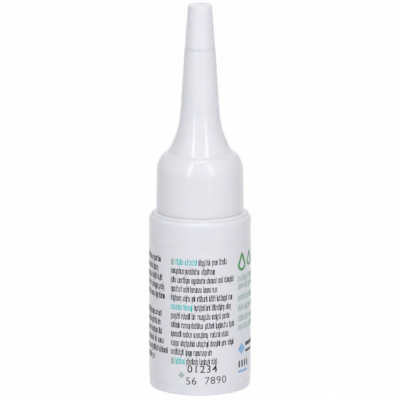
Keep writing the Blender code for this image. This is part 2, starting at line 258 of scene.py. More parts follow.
class StageSetup(bpy.types.PropertyGroup):
    camera_tilt: angle("Camera tilt", "How far the camera looks down", 12.901)
    camera_distance: length("Camera distance", "From the camera to the bottle", 1793.7)
    camera_aim: length("Camera aim", "Height that the camera looks at", 55.72)
    lens: number("Lens", "Focal length in millimetres", 548.34)
    left_lamp: number("Left lamp", "Power of the soft box on the left", 10.5)
    left_turn: angle("Left lamp turn", "How far it stands to the side", 30.5)
    left_width: length("Left lamp width", "Width of the left soft box", 320.0)
    right_lamp: number("Right lamp", "Power of the soft box on the right", 11.5)
    right_turn: angle("Right lamp turn", "How far it stands to the side", 32.5)
    right_width: length("Right lamp width", "Width of the right soft box", 330.0)
    side_lift: angle("Side lamp lift", "How high each soft box stands", 28.0)
    side_distance: length("Side lamp distance", "From the bottle to a soft box", 2000.0)
    side_height: length("Side lamp height", "Height of a soft box", 2250.0)
    top_lamp: number("Top lamp", "Power of the lamp overhead", 15.0)
    top_size: length("Top lamp size", "Width of the lamp overhead", 1100.0)
    top_lift: angle("Top lamp lift", "How high that lamp stands", 80.0)
    top_distance: length("Top lamp distance", "From the bottle to that lamp", 2400.0)
    fill: number("Fill", "Strength of the soft light from the front", 0.305)
    fill_sides: share("Fill at the sides", "Share of it from the sides", 0.52)
    fill_behind: number("Fill behind", "Strength of the soft light behind", 4.2)
    behind_lift: angle("Behind lift", "How high that light stands", 18.0)
    fill_turn: angle("Fill turn", "How far it is turned to the right", 10.0)
    fill_tint: colour("Fill tint", "Colour of the soft light in front", (0.96, 0.97, 1.0))
    side_tint: colour("Side tint", "Colour of it from the sides", (0.82, 0.87, 1.0))
    table_size: length("Table size", "Width of the table", 6000.0)
    floor: colour("Floor", "Colour of the table", (0.94, 0.94, 0.94))
    floor_glow: share("Floor glow", "How white the camera sees it", 0.97)


# Shader nodes


class Signal:
    """A value on its way through a material, which Python's own signs work on."""

    def __init__(self, paint, socket):
        self.paint, self.socket = paint, socket

    def maths(self, operation, first, second=0.0):
        return self.paint.node("ShaderNodeMath", {0: first, 1: second}, operation=operation)

    def __add__(self, other):
        return self.maths("ADD", self, other)

    def __sub__(self, other):
        return self.maths("SUBTRACT", self, other)

    def __rsub__(self, other):
        return self.maths("SUBTRACT", other, self)

    def __mul__(self, other):
        return self.maths("MULTIPLY", self, other)

    def __abs__(self):
        return self.maths("ABSOLUTE", self)

    __radd__, __rmul__ = __add__, __mul__


class Paint:
    """One tree of shader nodes, and the ways in which its nodes are added."""

    def __init__(self, tree):
        self.tree = tree

    def fill(self, node, sockets):
        """Links what varies to a node's sockets, and sets what doesn't on the sockets themselves."""
        for name, value in sockets.items():
            if isinstance(value, Signal):
                self.tree.links.new(value.socket, node.inputs[name])
            else:
                node.inputs[name].default_value = value

    def node(self, kind, sockets=None, output=0, **settings):
        made = self.tree.nodes.new(kind)
        for name, value in settings.items():
            setattr(made, name, value)
        self.fill(made, sockets or {})
        return Signal(self, made.outputs[output])

    def outputs(self, kind, names, sockets=None):
        """Several outputs of one new node."""
        made = self.node(kind, sockets).socket.node
        return [Signal(self, made.outputs[name]) for name in names]

    def place(self):
        return self.node("ShaderNodeTexCoord", output="Object")

    def noise(self, place, scale, detail=2.0):
        sockets = {"Vector": place, "Scale": scale, "Detail": detail}
        return self.node("ShaderNodeTexNoise", sockets, "Fac")

    def mix(self, factor, first, second):
        return self.node("ShaderNodeMix", {0: factor, 6: first, 7: second}, 2, data_type="RGBA")

    def shades(self, factor, tone, first, second):
        """A mix of two shades of one colour."""
        return self.mix(factor, rgba(tone, first), rgba(tone, second))

    def fade(self, value, start, end):
        sockets = {"Value": value, "From Min": start, "From Max": end}
        return self.node("ShaderNodeMapRange", sockets, interpolation_type="SMOOTHSTEP")

    def bump(self, height, distance, strength):
        sockets = {"Height": height, "Distance": distance, "Strength": strength}
        return self.node("ShaderNodeBump", sockets)

    def facing(self, ray, place):
        """How far a ray points towards a place, from -1 to 1."""
        return self.node("ShaderNodeVectorMath", {0: ray, 1: place}, "Value", operation="DOT_PRODUCT")


def rgba(colour_value, shade=1.0):
    return tuple(channel * shade for channel in colour_value) + (1.0,)


def new_material(name):
    material = bpy.data.materials.new(name)
    material.use_nodes = True
    shader = material.node_tree.nodes["Principled BSDF"]
    return material, shader, Paint(material.node_tree)


def plastic(name, tone, roughness, grain, depth, soft, mark=None):
    """White plastic that lets light some way in, with faint clouding and a mould's fine grain. A mark is
    a height, a reach and a share, and round that height the colour has painted shade, a little darker and
    warmer."""
    material, shader, paint = new_material(name)
    place = paint.place()
    cloud = paint.noise(place, 140.0, 3.0)
    base = paint.shades(cloud, tone, 0.985, 1.01)
    if mark:
        height, reach, shade_share = mark
        up = paint.outputs("ShaderNodeSeparateXYZ", "Z", {0: place})[0]
        # Painted shade: close to the mark's height the colour darkens towards the warm dark colour above
        shaded = paint.mix(shade_share, base, PAINTED_SHADE)
        base = paint.mix(paint.fade(abs(up - height), reach, 0.0), base, shaded)
    paint.fill(shader, {
        "Base Color": base,
        "Roughness": roughness - 0.03 + cloud * 0.06,
        "Normal": paint.bump(paint.noise(place, grain), depth, 0.6),
        "IOR": PLASTIC_IOR,
        "Specular IOR Level": 0.42,
        "Subsurface Weight": 0.45,
        "Subsurface Radius": (1.0, 0.82, 0.74),
        "Subsurface Scale": soft,
    })
    return material


def film_material(printing, tone):
    """White label film with a soft tint on the front panel, green above and blue below."""
    material, shader, paint = new_material("printed_film")
    place = paint.place()
    across, towards, height = paint.outputs("ShaderNodeSeparateXYZ", "XYZ", {0: place})
    turn = across.maths("ARCTAN2", across, towards * -1.0)
    panel = paint.fade(turn, PANEL_LEFT, PANEL_LEFT + PANEL_SOFT)
    panel = panel * (1.0 - paint.fade(turn, PANEL_RIGHT - PANEL_SOFT, PANEL_RIGHT))
    tint = paint.mix(paint.fade(height, *TINT_CHANGE), rgba(printing.tint_foot), rgba(printing.tint_top))
    reach = panel * (1.0 - paint.fade(height, *TINT_TOP)) * paint.fade(height, *TINT_FOOT)
    cloud = paint.noise(place, 110.0, 3.0)
    plain = paint.shades(cloud, tone, 0.99, 1.01)
    edge = math.remainder(printing.overlap_place / label_radius, 2 * math.pi)
    half = printing.overlap_line / label_radius / 2
    stuck = paint.fade(turn, edge - half, edge + half)
    # A darker line along the glued edge: painted shade of the overlap's small step
    line = stuck * (1.0 - paint.fade(turn, edge + half, edge + half * 3))
    tinted = paint.mix(reach * TINT_SHARE, plain, tint)
    surface = stuck + paint.noise(place, 900.0) * 0.1
    paint.fill(shader, {
        "Base Color": paint.mix(line * 0.5, tinted, rgba(tone, 0.75)),
        "Roughness": 0.28 + cloud * 0.06,
        "Normal": paint.bump(surface, printing.overlap_step, 1.0),
        "IOR": PLASTIC_IOR,
        "Specular IOR Level": 0.4,
    })
    return material


def ink_material(name, tone):
    """Ink whose cover varies a little, as small print does."""
    material, shader, paint = new_material(name)
    cover = paint.noise(paint.place(), 2600.0)
    paint.fill(shader, {
        "Base Color": paint.shades(cover, tone, 0.8, 1.2),
        "Roughness": 0.42 + cover * 0.12,
        "IOR": PLASTIC_IOR,
    })
    return material


def foam_material(tone):
    """Closed-cell foam with fine cells."""
    material, shader, paint = new_material("washer_foam")
    sockets = {"Vector": paint.place(), "Scale": 4200.0}
    cells = paint.node("ShaderNodeTexVoronoi", sockets, "Distance")
    paint.fill(shader, {
        "Base Color": paint.shades(cells, tone, 0.9, 1.02),
        "Roughness": 0.8 + cells * 0.15,
        "Normal": paint.bump(cells, 0.00006, 0.8),
    })
    return material


# Modelling


def edit_mode():
    bpy.ops.object.mode_set(mode="EDIT")


def object_mode():
    bpy.ops.object.mode_set(mode="OBJECT")


def select_all():
    bpy.ops.mesh.select_all(action="SELECT")


def only(piece):
    bpy.ops.object.select_all(action="DESELECT")
    piece.select_set(True)
    bpy.context.view_layer.objects.active = piece


def edit(piece):
    """Goes into edit mode on a piece, out of the one that was being edited."""
    if bpy.context.object and bpy.context.object.mode == "EDIT":
        if bpy.context.object == piece:
            return
        object_mode()
    only(piece)
    edit_mode()


def move_all(step):
    """Moves all that the current piece has."""
    edit_mode()
    select_all()
    bpy.ops.transform.translate(value=step)
    object_mode()


def face_outwards():
    """Merges the doubles of the piece in edit mode, turns its faces outwards and leaves edit mode."""
    select_all()
    bpy.ops.mesh.remove_doubles(threshold=MERGE)
    bpy.ops.mesh.normals_make_consistent(inside=False)
    object_mode()


def choose(kind, wanted):
    """Selects each VERT, EDGE or FACE in edit mode that passes a test, and counts them."""
    bpy.ops.mesh.select_mode(type=kind)
    bpy.ops.mesh.select_all(action="DESELECT")
    mesh = bmesh.from_edit_mesh(bpy.context.object.data)
    chosen = [part for part in getattr(mesh, kind.lower() + "s") if wanted(part)]
    for part in chosen:
        part.select = True
    if kind == "VERT":
        mesh.select_flush(True)
    bmesh.update_edit_mesh(bpy.context.object.data)
    return len(chosen)


def middle_of(edge):
    return (edge.verts[0].co + edge.verts[1].co) / 2


def apply_modifier(piece, kind, **settings):
    """Gives a piece a modifier and applies it."""
    modifier = piece.modifiers.new("shaping", kind)
    for name, value in settings.items():
        setattr(modifier, name, value)
    bpy.ops.object.modifier_apply(modifier=modifier.name)


def rounded_corner(before, corner, after, rounding):
    """The points that round one corner of an outline."""
    corner = Vector(corner)
    into, away = Vector(before) - corner, Vector(after) - corner
    half = into.angle(away) / 2
    reach = min(rounding / math.tan(half), into.length * 0.49, away.length * 0.49)
    radius = reach * math.tan(half)
    into.normalize()
    away.normalize()
    centre = corner + (into + away).normalized() * (radius / math.sin(half))
    first, last = corner + into * reach - centre, corner + away * reach - centre
    turn = -first.angle_signed(last)
    start = math.atan2(first.y, first.x)
    facets = max(2, math.ceil(abs(math.degrees(turn)) / 9.0))
    return arc(centre, radius, radius, start, start + turn, facets)


def outline(corners, closed=False):
    """The points of an outline. A corner is (radius, height) or (radius, height, rounding)."""
    points = []
    for index, corner in enumerate(corners):
        if len(corner) == 2 or (not closed and index in (0, len(corners) - 1)):
            points.append(tuple(corner[:2]))
        else:
            after = corners[(index + 1) % len(corners)]
            points += rounded_corner(corners[index - 1][:2], corner[:2], after[:2], corner[2])
    return points


def arc(centre, width, height, start, end, facets):
    """Points of an elliptical arc between two angles in radians."""
    points = []
    for step in range(facets + 1):
        at = start + (end - start) * step / facets
        points.append((centre[0] + width * math.cos(at), centre[1] + height * math.sin(at)))
    return points


def new_point(name):
    """A new piece in edit mode that is a single point at the origin."""
    bpy.ops.mesh.primitive_plane_add(size=0.001, location=(0.0, 0.0, 0.0))
    piece = bpy.context.object
    piece.name = piece.data.name = name
    edit_mode()
    bpy.ops.mesh.select_mode(type="VERT")
    bpy.ops.mesh.merge(type="CENTER")
    return piece


def blank(name):
    """A new piece with nothing in it yet."""
    piece = new_point(name)
    select_all()
    bpy.ops.mesh.delete(type="VERT")
    object_mode()
    return piece


def draw(points, closed):
    """Draws an outline in edit mode, by extruding one corner after another."""
    bpy.ops.transform.translate(value=(points[0][0], 0.0, points[0][1]))
    for before, after in zip(points, points[1:]):
        step = (after[0] - before[0], 0.0, after[1] - before[1])
        bpy.ops.mesh.extrude_vertices_move(TRANSFORM_OT_translate={"value": step})
    if closed:
        choose("VERT", lambda vertex: len(vertex.link_edges) == 1)
        bpy.ops.mesh.edge_face_add()


def turned(name, corners, closed=False):
    """A piece turned on the bottle's axis from an outline."""
    piece = new_point(name)
    draw(outline(corners, closed), closed)
    select_all()
    sides = bpy.context.scene.bottle_sizes.sides
    bpy.ops.mesh.spin(steps=sides, angle=2 * math.pi, center=(0, 0, 0), axis=(0, 0, 1))
    face_outwards()
    return piece


def ring_corners(outer, inner, low, high, *rounding):
    """The corners of a ring's square section."""
    return [(*at, *rounding) for at in ((outer, high), (outer, low), (inner, low), (inner, high))]


def union(piece, added):
    """Joins a second closed shape to a piece, and removes it."""
    only(piece)
    apply_modifier(piece, "BOOLEAN", operation="UNION", solver="EXACT", object=added)
    bpy.data.objects.remove(added, do_unlink=True)


def finish(piece, material, body, node, smooth=30.0):
    """Smooth shading, the material, the body that the piece rides on and the node that it stands for."""
    only(piece)
    bpy.ops.object.shade_smooth_by_angle(angle=math.radians(smooth))
    piece.data.materials.clear()
    piece.data.materials.append(material)
    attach(piece, body)
    if node:
        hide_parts(node)


def shoulder_height():
    return neck_top - bpy.context.scene.bottle_sizes.neck_height


def thread(name, wall_radius, side, crest, lift):
    """A helical ridge with faded ends, outside a round wall with side 1 and inside it with side -1."""
    sizes = bpy.context.scene.bottle_sizes
    turns, climb = sizes.thread_turns, sizes.thread_pitch * sizes.thread_turns
    start = shoulder_height() + sizes.thread_rise + lift
    sunk = wall_radius - side * THREAD_SINK
    tip = wall_radius + side * crest
    under = [(sunk, THREAD_FOOT), (tip - side * THREAD_SINK, THREAD_FOOT * 0.55), (tip, THREAD_FOOT * 0.3)]
    section = [(radius, start - height) for radius, height in under]
    section += [(radius, start + height) for radius, height in reversed(under)]
    ridge = new_point(name)
    draw(section, True)
    object_mode()
    steps = round(turns * sizes.sides)
    helix = {"angle": 2 * math.pi * turns, "screw_offset": climb, "steps": steps, "render_steps": steps}
    apply_modifier(ridge, "SCREW", use_merge_vertices=False, **helix)
    edit_mode()
    fade = round(sizes.sides * THREAD_FADE)
    for ring in [*range(fade), *range(steps + 1 - fade, steps + 1)]:
        at = ring / steps
        size = 0.15 + 0.85 * min(ring, steps - ring) / fade
        around = 2 * math.pi * turns * at
        centre = (sunk * math.cos(around), sunk * math.sin(around), start + climb * at)
        choose("VERT", lambda vertex: vertex.index // len(section) == ring)
        bpy.ops.transform.resize(value=(size, size, size), center_override=centre)
    for ring in (0, steps):
        choose("VERT", lambda vertex: vertex.index // len(section) == ring)
        bpy.ops.mesh.edge_face_add()
    face_outwards()
    return ridge


# The printed label


def flat_grid(left, right, foot, top, columns, rows):
    """Adds a flat upright grid to the piece in edit mode, and leaves it selected."""
    middle = ((left + right) / 2, 0.0, (foot + top) / 2)
    bpy.ops.mesh.primitive_grid_add(
        x_subdivisions=columns, y_subdivisions=rows, size=1.0, location=middle, rotation=UPRIGHT
    )
    bpy.ops.transform.resize(value=(right - left, 1.0, top - foot), center_override=middle)


def flat_bar(left, right, foot, top, columns):
    """A flat bar with square ends, laid out in mm, in the piece in edit mode."""
    flat_grid(left * MM, right * MM, foot * MM, top * MM, columns, 2)


def lozenge(across, height, radius):
    """A small upright lozenge, laid out in mm, in the piece in edit mode."""
    half = radius * math.sqrt(0.5)
    sides = across - half, across + half, height - half, height + half
    flat_grid(*(side * MM for side in sides), 8, 8)
    middle = (across * MM, 0.0, height * MM)
    bpy.ops.transform.rotate(value=math.pi / 4, orient_axis="Y", center_override=middle)


def drop_shape(across, height, radius, line):
    """A water drop drawn in outline, laid out in mm, in the piece in edit mode."""
    middle = (across * MM, 0.0, height * MM)
    bpy.ops.mesh.primitive_circle_add(
        vertices=40, radius=radius * MM, fill_type="NGON", location=middle, rotation=UPRIGHT
    )
    mesh = bmesh.from_edit_mesh(bpy.context.object.data)
    for vertex in [vertex for vertex in mesh.verts if vertex.select]:
        up = (vertex.co.z - middle[2]) / (radius * MM)
        if up > 0:
            vertex.co.x = middle[0] + (vertex.co.x - middle[0]) * (1.0 - 0.45 * up)
            vertex.co.z += 0.75 * up * up * radius * MM
    bmesh.update_edit_mesh(bpy.context.object.data)
    bpy.ops.mesh.select_mode(type="FACE")
    bpy.ops.mesh.inset(thickness=line * MM, depth=0.0)
    bpy.ops.mesh.delete(type="FACE")


def word_spans(left, right, chance):
    """Splits a row into words with a space between each two."""
    spans = []
    at = left
    while right - at > SHORT * MM:
        end = min(right, at + chance.uniform(*WORD) * MM)
        if right - end < SLIGHT * MM:
            end = right
        spans.append((at, end))
        at = end + chance.uniform(*SPACE) * MM
    return spans


def row_plan(spans, left, columns, stroke, widths, chance):
    """For each column of a row: S a stroke, T or F a gap joined at its top or foot, and - a space.
    Widths are the numbers of columns that a stroke may take."""
    plan = ["-"] * columns
    for start, end in spans:
        at = round((start - left) / stroke)
        last = min(columns, round((end - left) / stroke))
        joined = chance.choice("TF")
        while at < last:
            for _ in range(chance.choice(widths)):
                if at < last:
                    plan[at] = "S"
                    at += 1
            gap = chance.choice(GAPS)
            if at + gap >= last:
                plan[at:last] = joined * (last - at)
                plan[last - 1] = "S"
                break
            for _ in range(gap):
                plan[at] = joined
                at += 1
            joined = "F" if joined == "T" else "T"
    return plan


def print_row(left, spans, base, chance, coarse=1.0, widths=STROKES):
    """Adds one row of small print to the piece in edit mode, words as square waves."""
    printing = bpy.context.scene.label_print
    stroke, top = printing.stroke * coarse, base + printing.x_height
    columns = round((spans[-1][1] - left) / stroke)
    right = left + columns * stroke
    flat_grid(left, right, base, top, columns, 3)
    third = printing.x_height / 3

    def on_level(vertex):
        return abs(vertex.co.z - level) < third / 4 and left - MERGE < vertex.co.x < right + MERGE

    for level, move in ((base + third, printing.bar - third), (top - third, third - printing.bar)):
        choose("VERT", on_level)
        bpy.ops.transform.translate(value=(0.0, 0.0, move))
    plan = row_plan(spans, left, columns, stroke, widths, chance)

    def cut_away(face):
        at = face.calc_center_median()
        if not (base < at.z < top and left < at.x < right):
            return False
        kind = plan[min(columns - 1, int((at.x - left) / stroke))]
        joined = (kind == "T" and at.z > top - printing.bar) or (kind == "F" and at.z < base + printing.bar)
        return not (kind == "S" or joined)

    choose("FACE", cut_away)
    bpy.ops.mesh.delete(type="FACE")
    lots = {index: chance.random() for index in range(columns) if plan[index] == "S"}

    def grows(edge):
        at = middle_of(edge)
        lot = lots.get(int((at.x - left) / stroke), 1.0)
        return abs(at.z - level) < MERGE and left < at.x < right and low <= lot < high

    for low, high, level, step in ((0.0, TALL, top, printing.rise), (TALL, DEEP, base, -printing.rise)):
        if choose("EDGE", grows):
            bpy.ops.mesh.extrude_edges_move(TRANSFORM_OT_translate={"value": (0.0, 0.0, step)})


def print_block(dark, heads, tags, left, first_row, ends, head_lengths, tag_rows, seed, coarse, widths):
    """One block of small print: the dark rows go into one piece and the coloured heads into another.
    The piece tags gets a small square at the start of some rows."""
    printing = bpy.context.scene.label_print
    chance = random.Random(seed)
    for row, end in enumerate(ends):
        if end == 0:
            continue
        base = first_row * MM - row * printing.pitch
        start = left * MM
        if row in tag_rows:
            edit(tags)
            flat_bar(left, left + 1.05, base / MM - 0.25, (base + printing.x_height) / MM + 0.25, 4)
            start += 1.5 * MM
        head = head_lengths.get(row, 0) * MM
        if head:
            spans = word_spans(start, start + head, chance)
            edit(heads)
            print_row(start, spans, base, chance, coarse, widths)
            start += head + 0.5 * MM
        spans = word_spans(start, end * MM, chance)
        edit(dark)
        print_row(start, spans, base, chance, coarse, widths)


def digits(name, body, across, height, spacing, tilt, weight):
    """Printed digits, stood up flat against the front. Tilt lifts the end of the row."""
    printing = bpy.context.scene.label_print
    upright = (math.pi / 2, -math.radians(tilt), 0.0)
    bpy.ops.object.text_add(location=(across * MM, 0.0, height * MM), rotation=upright)
    piece = bpy.context.object
    written = piece.data
    written.body = body
    written.size = printing.digit_size
    written.space_character = spacing
    written.offset = weight
    written.resolution_u = 4
    written.extrude = printing.ink
    bpy.ops.object.convert(target="MESH")
    bpy.ops.object.transform_apply(location=True, rotation=True, scale=True)
    piece.name = piece.data.name = name
    edit_mode()
    face_outwards()
    return piece


def face_front():
    """Turns every face of a flat layout to the front."""
    edit_mode()
    choose("FACE", lambda face: face.normal.y > 0)
    bpy.ops.mesh.flip_normals()
    object_mode()


def wrap(piece, thickness, sink=HAIR):
    """Gives a flat layout its thickness, its back a little in the film, and wraps it round the bottle."""
    only(piece)
    if all(abs(vertex.co.y) < MERGE for vertex in piece.data.vertices):
        face_front()
        apply_modifier(piece, "SOLIDIFY", thickness=thickness + sink, offset=1.0)
        front = min(vertex.co.y for vertex in piece.data.vertices)
        move_all((0.0, -front - thickness, 0.0))
    places = [vertex.co.x for vertex in piece.data.vertices]
    turn = (max(places) - min(places)) / FILM_RADIUS
    apply_modifier(piece, "SIMPLE_DEFORM", deform_method="BEND", deform_axis="Z", angle=turn)
    move_all((0.0, -FILM_RADIUS, 0.0))


# Operators


class BOTTLE_OT_shell(bpy.types.Operator):
    """Turn the squeeze bottle with its threaded neck and pushed-up base"""

    bl_idname = "ear_drop.bottle_shell"
    bl_label = "Bottle shell"

    def execute(self, context):
        sizes = context.scene.bottle_sizes
        shoulder = shoulder_height()
        ceiling = shoulder - sizes.wall
        panel = body_radius - sizes.panel_depth
        inside = panel - sizes.wall
        bore = sizes.neck_radius - sizes.neck_wall
        line, line_top = sizes.fall_radius, shoulder - sizes.fall
        half, lead = sizes.line_width, sizes.panel_lead
        heel = body_radius - sizes.heel_inset
        foot = heel - sizes.heel_width
        ring = foot - sizes.foot_ring
        floor = sizes.push_up + sizes.wall
        low, high = label_low - HAIR, label_high + HAIR
        corners = [
            (0.0, floor), (inside, floor, sizes.wall * 2), (inside, ceiling - sizes.drop, sizes.wall),
            (line - sizes.wall, ceiling, SOFT), (bore, ceiling, SOFT),
            (bore, neck_top, EASED), (sizes.neck_radius, neck_top, EASED),
            (sizes.neck_radius, shoulder, SOFT), (sizes.seat_radius, shoulder, EDGE),
            (line - half, line_top + half * 0.5), (line, line_top - sizes.line_depth),
            (line + half, line_top - half * 0.5), (body_radius, shoulder - sizes.drop, sizes.rounding),
            (body_radius, label_high + lead, lead),
            (FILM_RADIUS, high), (panel, high), (panel, low), (FILM_RADIUS, low),
            (heel, label_low - lead * 0.7, lead * 0.5),
        ]
        corners += arc((foot, sizes.heel_height), sizes.heel_width, sizes.heel_height, 0, -math.pi / 2, 14)
        corners += [(ring, 0.0, FULL), (ring - sizes.push_up, sizes.push_up, FULL), (0.0, sizes.push_up)]
        piece = turned("bottle_shell", corners)
        union(piece, thread("neck_thread", sizes.neck_radius, 1, sizes.thread_crest, 0.0))
        union(piece, pinch_ridge(sizes))
        # Painted shade along the fine line round the shoulder, where its groove lies in shade
        mark = (line_top - sizes.line_depth / 2, 0.00024, 0.7)
        material = plastic("white_blown_plastic", context.scene.finishes.bottle, mark=mark, **BLOWN)
        finish(piece, material, "bottle", "squeeze_bottle")
        return {"FINISHED"}


def pinch_ridge(sizes):
    """The straight line across the underside of the base, where the mould pinched the plastic off."""
    bpy.ops.mesh.primitive_cube_add(size=1.0, location=(0.0, 0.0, 0.0))
    ridge = bpy.context.object
    edit_mode()
    tall = sizes.pinch_height * 2
    bpy.ops.transform.resize(value=(sizes.pinch_length, sizes.pinch_width, tall))
    choose("EDGE", lambda edge: abs(middle_of(edge).z) < MERGE or middle_of(edge).z < -tall / 4)
    bpy.ops.mesh.bevel(offset=sizes.pinch_width * 0.4, segments=3)
    object_mode()
    move_all((0.0, 0.0, sizes.push_up))
    return ridge


class BOTTLE_OT_label(bpy.types.Operator):
    """Wrap the white film round the bottle, with its glued overlap at the back"""

    bl_idname = "ear_drop.label_film"
    bl_label = "Label film"

    def execute(self, context):
        printing = context.scene.label_print
        corners = ring_corners(FILM_RADIUS, FILM_RADIUS - printing.film, label_low, label_high)
        piece = turned("printed_label", corners, True)
        material = film_material(printing, context.scene.finishes.film)
        finish(piece, material, "bottle", "wrap_label")
        return {"FINISHED"}


class BOTTLE_OT_print(bpy.types.Operator):
    """Print the label: rows of small print as plain waves, digits, drops and marks"""

    bl_idname = "ear_drop.label_print"
    bl_label = "Label print"

    def execute(self, context):
        printing = context.scene.label_print
        dark, heads, pale = blank("small_print"), blank("heading_print"), blank("panel_rows")
        for block in BLOCKS:
            print_block(dark, heads, pale, *block)
        edit(pale)
        chance = random.Random(14)
        start = PANEL_START * MM
        for height, end in PANEL_ROWS.items():
            print_row(start, word_spans(start, end * MM, chance), height * MM, chance)
        lozenge(-5.6, 6.1, 1.0)
        object_mode()
        drops = blank("panel_drops")
        edit(drops)
        for drop in DROPS:
            drop_shape(*drop)
        object_mode()
        marks = blank("panel_marks")
        edit(marks)
        lozenge(14.3, 12.8, 1.7)
        flat_bar(12.8, 17.6, 5.7, 6.4, 14)
        edit(dark)
        for bar in BARS:
            flat_bar(*bar)
        object_mode()
        upper = digits("upper_digits", "01234", -3.8, 7.05, 1.16, 0.0, printing.digit_weight)
        lower = digits("lower_digits", "56  7890", -4.3, 3.38, 1.10, 1.2, 0.0)
        for piece, ink in (
            (dark, printing.dark), (heads, printing.teal), (pale, printing.pale), (drops, printing.green),
            (marks, printing.blue), (upper, printing.dark), (lower, printing.grey),
        ):
            wrap(piece, printing.ink)
            finish(piece, ink_material(piece.name + "_ink", ink), "bottle", None, 60.0)
        return {"FINISHED"}


class BOTTLE_OT_plug(bpy.types.Operator):
    """Turn the plug in the neck, with its drip hole"""

    bl_idname = "ear_drop.neck_plug"
    bl_label = "Neck plug"

    def execute(self, context):
        sizes = context.scene.bottle_sizes
        funnel, spout, hole = 0.0030, 0.0022, 0.0009
        flange, wall, spout_length, lead = 0.0008, 0.0010, 0.0020, 0.0005
        under = plug_high - flange
        spout_foot = under - spout_length
        outside = sizes.neck_radius - sizes.neck_wall - FIT_GAP
        inside = outside - wall
        corners = [
            (funnel, plug_high, EDGE), (plug_radius, plug_high, EDGE), (plug_radius, under, EDGE),
            (outside, under, CRISP), (outside, plug_low + lead, EDGE), (outside - lead, plug_low, CRISP),
            (inside, plug_low, CRISP), (inside, under, wall / 2), (spout, under, EASED),
            (spout, spout_foot, EDGE), (hole, spout_foot, CRISP), (hole, plug_high - flange / 2, CRISP),
        ]
        piece = turned("neck_plug", corners, True)
        material = plastic("natural_plastic", context.scene.finishes.plug, **NATURAL)
        finish(piece, material, "bottle", "orifice_reducer")
        return {"FINISHED"}


class BOTTLE_OT_washer(bpy.types.Operator):
    """Turn the foam washer that seals the closure"""

    bl_idname = "ear_drop.foam_washer"
    bl_label = "Foam washer"

    def execute(self, context):
        width, rounding = 0.0034, 0.00012
        corners = ring_corners(washer_radius, washer_radius - width, washer_low, washer_high, rounding)
        piece = turned("foam_washer", corners, True)
        material = foam_material(context.scene.finishes.foam)
        finish(piece, material, "washer", "sealing_washer")
        return {"FINISHED"}


def cap_bore(sizes, height):
    """The radius inside the tip cap at a height."""
    along = (height - cap_low) / (cap_high - cap_low)
    return cap_radius - sizes.cap_taper * along - sizes.cap_wall


class BOTTLE_OT_closure(bpy.types.Operator):
    """Turn the screw collar with its domed top and long nozzle"""

    bl_idname = "ear_drop.closure"
    bl_label = "Closure and nozzle"

    def execute(self, context):
        sizes = context.scene.closure_sizes
        bottle = context.scene.bottle_sizes
        low = shoulder_height() + sizes.lip_gap
        collar = lip_radius - sizes.lip_spread
        bore = collar - sizes.collar_wall
        dome_sink, step_in, step_up = 0.0006, 0.0003, 0.00025
        solid_tip, tip_wall, throat = 0.0030, 0.0010, 0.0050
        dome = (collar - sizes.dome_width, washer_high - dome_sink)
        flare_radius = dome[0] + sizes.dome_width * math.cos(sizes.dome_end) - step_in
        flare_foot = dome[1] + sizes.dome_height * math.sin(sizes.dome_end) + step_up
        top = flare_foot + sizes.nozzle_length
        gain = flare_radius - sizes.nozzle_top - sizes.nozzle_slope * sizes.nozzle_length

        def nozzle(height):
            left = max(0.0, 1.0 - (height - flare_foot) / sizes.flare_height)
            straight = sizes.nozzle_top + sizes.nozzle_slope * (top - height)
            return straight + gain * left**sizes.flare_power

        def spigot(height):
            return cap_bore(sizes, height) - FIT_GAP

        rib_foot = washer_high + FIT_GAP
        rib_bore = sizes.rib_radius - sizes.rib_width
        slope = sizes.rim_slope
        corners = [
            (sizes.orifice, spigot_top, EDGE), (spigot(spigot_top), spigot_top, SOFT),
            (spigot(top), top, CRISP), (sizes.nozzle_top - slope, top),
            (sizes.nozzle_top, top - slope * 2), (nozzle(top - HOLD), top - HOLD),
        ]
        for step in range(25):
            height = flare_foot + sizes.flare_height * (1 - step / 24)
            corners.append((nozzle(height), height))
        corners[-1] += (FULL,)
        corners += arc(dome, sizes.dome_width, sizes.dome_height, sizes.dome_end, 0, 24)
        corners += [(lip_radius, low, sizes.lip_rounding), (bore + EASED, low), (bore, low + EASED)]
        groove = (sizes.dome_width - sizes.collar_wall, sizes.dome_height - sizes.collar_wall)
        stop = math.acos((sizes.rib_radius - dome[0]) / groove[0])
        corners += arc(dome, groove[0], groove[1], 0, stop, 8)
        corners += [(sizes.rib_radius, rib_foot), (min(rib_bore, flare_radius - sizes.nozzle_wall), rib_foot)]
        hollow = sizes.nozzle_length - solid_tip
        for step in range(11):
            height = flare_foot + hollow * (step / 10) ** sizes.flare_power
            corners.append((min(rib_bore, nozzle(height) - sizes.nozzle_wall), height))
        corners += [(spigot(top) - tip_wall, top - sizes.nozzle_wall), (sizes.orifice, spigot_top - throat)]
        piece = turned("nozzle_and_collar", corners, True)
        union(piece, thread("collar_thread", bore, -1, sizes.collar_crest, -bottle.thread_pitch / 2))
        # Painted shade on the collar just above its lip, standing in for the shade in the gap under the lip
        mark = (low, 0.0009, 0.3)
        material = plastic("white_moulded_plastic", context.scene.finishes.closure, mark=mark, **MOULDED)
        finish(piece, material, "closure", "nozzle_closure")
        return {"FINISHED"}


